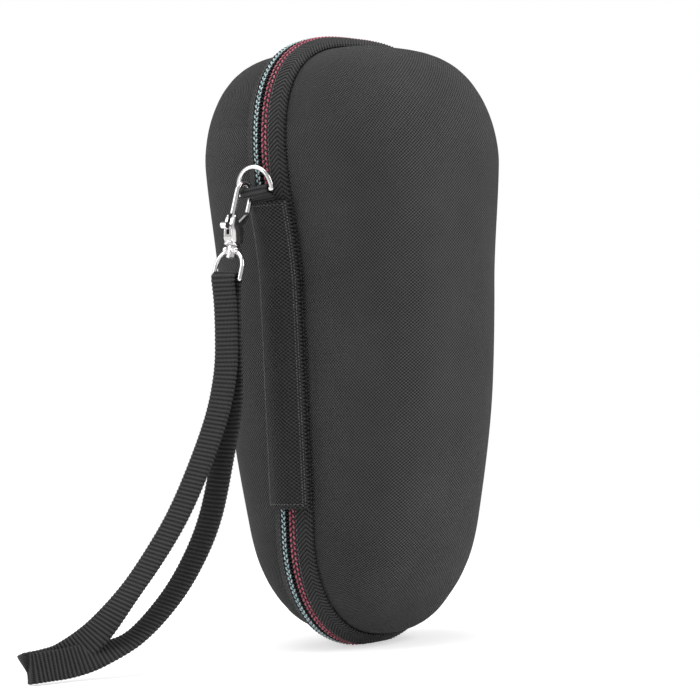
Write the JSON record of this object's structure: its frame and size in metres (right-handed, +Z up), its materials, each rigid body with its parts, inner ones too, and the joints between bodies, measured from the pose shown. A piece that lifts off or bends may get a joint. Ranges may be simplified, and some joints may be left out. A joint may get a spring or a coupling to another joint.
{
  "type": "shaver travel case",
  "caption": "Waisted hard clamshell case for an electric shaver, zipped round, with a fabric spine hinge, D-ring, swivel snap hook and wrist strap.",
  "frame": {"origin": "middle of the case's foot, on the parting plane of the two halves, on the surface it stands on", "axes": "+Z up to the case's top; +Y through the back half, so -Y through the front half or lid; -X through the fabric spine with the ring and hook, +X through the opening side"},
  "size_m": [0.1856, 0.0878, 0.2088],
  "materials": {
    "shell_fabric": "moulded foam skin laminated with fine woven polyester, soft sheen",
    "lining_knit": "brushed knit",
    "rim_binding": "folded binding tape",
    "back_tape": "black twill with pale blue stitching",
    "front_tape": "black twill with red stitching",
    "coil_nylon": "nylon coil",
    "stop_nylon": "moulded nylon",
    "hinge_webbing": "coarse woven",
    "tab_webbing": "woven webbing",
    "ring_chrome": "polished",
    "hook_chrome": "polished",
    "spring_steel": "plain",
    "strap_webbing": "ribbed nylon webbing",
    "slider_metal": "black enamel",
    "pull_metal": "black enamel",
    "elastic": "ribbed elastic",
    "net": "open mesh net",
    "hem_elastic": "folded elastic"
  },
  "bodies": {
    "back_half": {"back_shell": "shell_fabric", "back_lining": "lining_knit", "back_rim_binding": "rim_binding", "back_zipper_tape": "back_tape", "back_zipper_coil": "coil_nylon", "zipper_end_stops": "stop_nylon", "elastic_retainer": "elastic"},
    "front_half": {"front_shell": "shell_fabric", "front_lining": "lining_knit", "front_rim_binding": "rim_binding", "front_zipper_tape": "front_tape", "front_zipper_coil": "coil_nylon", "net_pocket": "net", "pocket_hem": "hem_elastic"},
    "spine_strip": {"hinge_strip": "hinge_webbing"},
    "ring_tab": {"ring_tab": "tab_webbing"},
    "d_ring": {"d_ring": "ring_chrome"},
    "hook": {"hook_body": "hook_chrome", "gate_pin": "spring_steel", "gate_spring": "spring_steel"},
    "gate": {"gate_lever": "hook_chrome"},
    "swivel": {"swivel_ring": "hook_chrome"},
    "strap": {"wrist_strap": "strap_webbing"},
    "upper_slider": {"upper_slider": "slider_metal"},
    "upper_pull": {"upper_pull_tab": "pull_metal"},
    "lower_slider": {"lower_slider": "slider_metal"},
    "lower_pull": {"lower_pull_tab": "pull_metal"}
  },
  "joints": [
    {"name": "lid_hinge", "type": "hinge", "parent": "back_half", "child": "front_half", "pos_m": [-0.05086, 0, 0.168], "axis": [0.0624, 0, -0.9981], "range_deg": [0, 120], "deforming": ["hinge_strip", "ring_tab"]},
    {"name": "spine_fold", "type": "hinge", "parent": "back_half", "child": "spine_strip", "pos_m": [-0.05086, 0, 0.168], "axis": [0.0624, 0, -0.9981], "range_deg": [0, 60]},
    {"name": "tab_lift", "type": "slide", "parent": "spine_strip", "child": "ring_tab", "axis": [-1, 0, 0], "range_m": [0, 0.0066]},
    {"name": "ring_swing", "type": "hinge", "parent": "ring_tab", "child": "d_ring", "pos_m": [-0.05264, 0, 0.1545], "axis": [0, 0.9962, -0.0872], "range_deg": [-35, 10]},
    {"name": "hook_swing", "type": "hinge", "parent": "ring_tab", "child": "hook", "pos_m": [-0.05264, 0.00498, 0.15406], "axis": [0, 0.9962, -0.0872], "range_deg": [-6, 30]},
    {"name": "gate_pivot", "type": "hinge", "parent": "hook", "child": "gate", "pos_m": [-0.0573, 0.00609, 0.1417], "axis": [-0.0444, -0.9964, -0.0724], "range_deg": [0, 28]},
    {"name": "swivel_turn", "type": "hinge", "parent": "hook", "child": "swivel", "pos_m": [-0.05264, 0.00498, 0.15406], "axis": [0.2652, -0.0816, 0.9607], "range_deg": [-45, 45]},
    {"name": "strap_swing", "type": "hinge", "parent": "swivel", "child": "strap", "pos_m": [-0.06036, 0.00736, 0.12611], "axis": [0.0444, 0.9964, 0.0724], "range_deg": [0, 50]},
    {"name": "upper_slide", "type": "slide", "parent": "back_half", "child": "upper_slider", "axis": [0.0201, 0, 0.9998], "range_m": [0, 0.022], "deforming": ["back_zipper_coil", "front_zipper_coil"]},
    {"name": "lower_slide", "type": "slide", "parent": "back_half", "child": "lower_slider", "axis": [-0.0201, 0, -0.9998], "range_m": [0, 0.022], "deforming": ["back_zipper_coil", "front_zipper_coil"]},
    {"name": "upper_pull_swing", "type": "hinge", "parent": "upper_slider", "child": "upper_pull", "pos_m": [0.04643, 0, 0.09994], "axis": [0, -1, 0], "range_deg": [0, 150]},
    {"name": "lower_pull_swing", "type": "hinge", "parent": "lower_slider", "child": "lower_pull", "pos_m": [0.04595, 0, 0.07594], "axis": [0, -1, 0], "range_deg": [0, 150]}
  ],
  "couplings": [
    {"joint": "spine_fold", "follows": "lid_hinge", "ratio": 0.5},
    {"joint": "tab_lift", "follows": "lid_hinge", "m_per_rad": 0.0031513}
  ]
}
